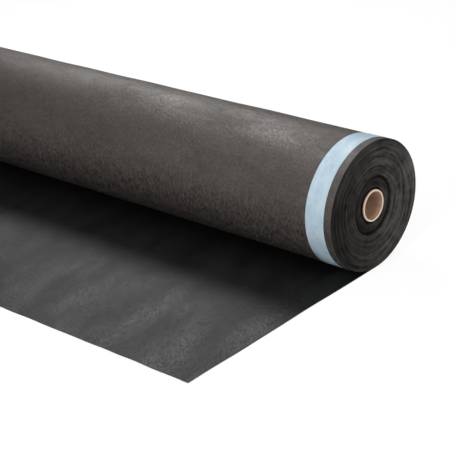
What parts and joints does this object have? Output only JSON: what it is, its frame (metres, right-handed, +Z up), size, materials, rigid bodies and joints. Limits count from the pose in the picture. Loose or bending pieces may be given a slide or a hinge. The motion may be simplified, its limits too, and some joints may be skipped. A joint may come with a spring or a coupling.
{
  "type": "roll of breather membrane",
  "caption": "Full-width roll of nonwoven breather membrane on a paperboard core tube, its free end laid out flat in front, with a self-adhesive edge strip under release film",
  "frame": {"origin": "on the floor, half way along the line on which the roll rests and where the free end leaves it", "axes": "+X runs along the roll's axis to the end with the adhesive strip, +Z is up, and the free end runs out towards -Y"},
  "size_m": [1.5084, 0.59, 0.2301],
  "materials": {
    "membrane": "black nonwoven of bonded fibres, matt with a soft sheen",
    "core": "spirally wound brown paperboard, paler on the cut rim",
    "adhesive_strip": "pale blue release film over the adhesive, softly glossy"
  },
  "bodies": {
    "root": {"membrane": "membrane", "core": "core", "adhesive_strip": "adhesive_strip"}
  },
  "joints": []
}
